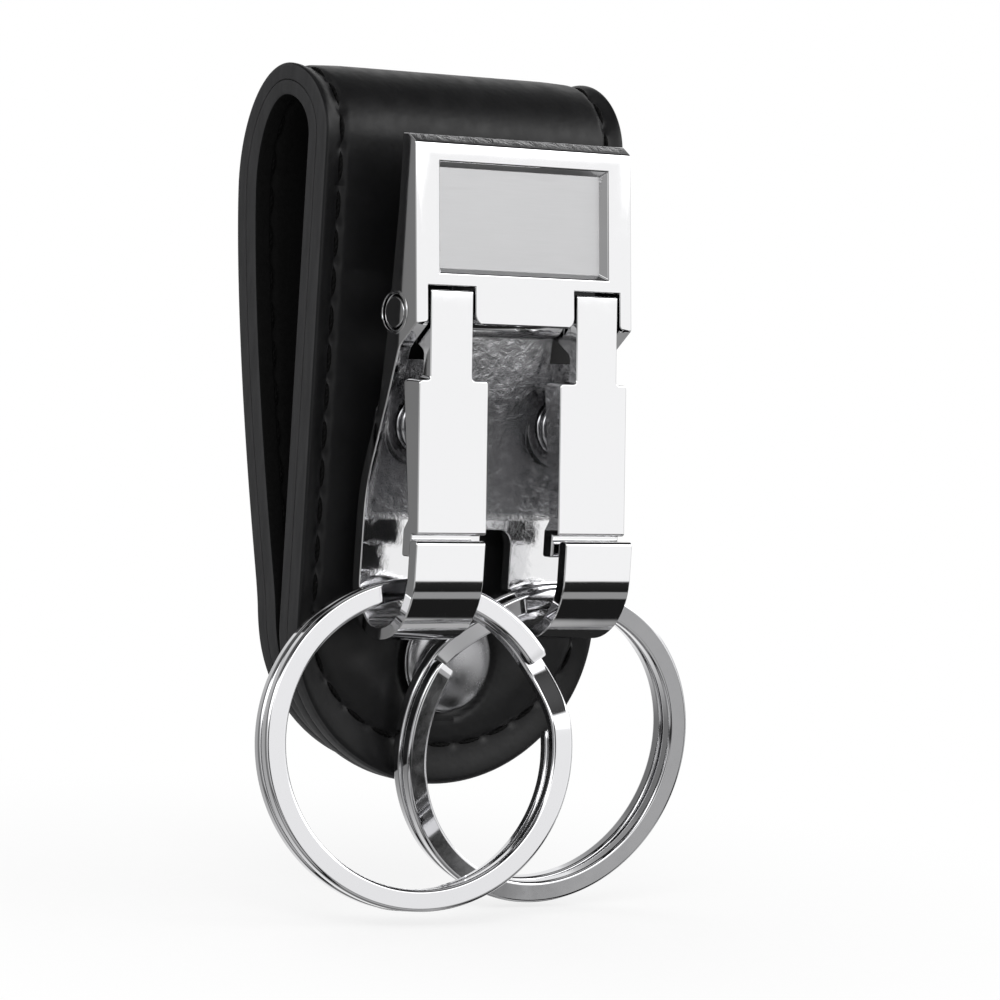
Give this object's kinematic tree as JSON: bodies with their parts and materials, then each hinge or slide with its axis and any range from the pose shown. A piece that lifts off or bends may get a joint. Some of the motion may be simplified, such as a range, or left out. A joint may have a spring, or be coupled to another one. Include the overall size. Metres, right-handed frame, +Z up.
{
  "type": "leather belt keychain",
  "caption": "Folded leather belt loop with a snap, carrying a chromed cast clip whose sprung gates close its hooks, each hook holding a split ring.",
  "frame": {"origin": "inside the top of the leather loop on the centre line, where the top edge of a belt bears", "axes": "+Z up, the object hangs downwards from the belt; the clip and rings are on the -Y side; +X to the right seen from the front"},
  "size_m": [0.0477, 0.027, 0.0767],
  "materials": {
    "leather": "black vegetable tanned leather, smooth grain, edge dyed, stitched",
    "lining": "black matt lining leather",
    "chrome": "bright chrome plate on a zinc casting",
    "satin_plate": "bare satin plate",
    "spring_steel": "plain spring wire",
    "ring_steel": "nickel plated tempered steel, polished",
    "nickel": "nickel plated snap parts, rivets and washers"
  },
  "bodies": {
    "holder": {"strap_front": "leather", "lining_front": "lining", "snap_cap": "chrome", "snap_socket": "nickel", "clip_body": "chrome", "window_plate": "satin_plate", "hinge_pin": "chrome", "spring_left": "spring_steel", "spring_right": "spring_steel", "rivet_upper": "nickel", "rivet_lower": "nickel", "washer_upper": "nickel", "washer_lower": "nickel"},
    "flap": {"strap_flap": "leather", "lining_flap": "lining", "snap_stud": "nickel", "snap_back_cap": "nickel"},
    "gate_left": {"gate_left": "chrome"},
    "gate_right": {"gate_right": "chrome"},
    "ring_left": {"ring_left": "ring_steel"},
    "ring_right": {"ring_right": "ring_steel"}
  },
  "joints": [
    {"name": "flap_fold", "type": "hinge", "parent": "holder", "child": "flap", "pos_m": [0, 0, 0.0032], "axis": [1, 0, 0], "range_deg": [0, 100]},
    {"name": "gate_left_press", "type": "hinge", "parent": "holder", "child": "gate_left", "pos_m": [-0.00809, -0.01204, -0.01902], "axis": [1, 0, 0], "range_deg": [0, 11], "stiffness_Nm_per_rad": 0.05, "springref_deg": -17.19, "deforming": ["spring_left"]},
    {"name": "gate_right_press", "type": "hinge", "parent": "holder", "child": "gate_right", "pos_m": [0.00809, -0.01204, -0.01902], "axis": [1, 0, 0], "range_deg": [0, 11], "stiffness_Nm_per_rad": 0.05, "springref_deg": -17.19, "deforming": ["spring_right"]},
    {"name": "ring_left_swing", "type": "hinge", "parent": "holder", "child": "ring_left", "pos_m": [-0.0086, -0.01265, -0.04409], "axis": [0.9703, -0.2419, 0], "range_deg": [-75, 2]},
    {"name": "ring_right_swing", "type": "hinge", "parent": "holder", "child": "ring_right", "pos_m": [0.0084, -0.01225, -0.04466], "axis": [0.9925, -0.1219, 0], "range_deg": [-10, 1]}
  ]
}
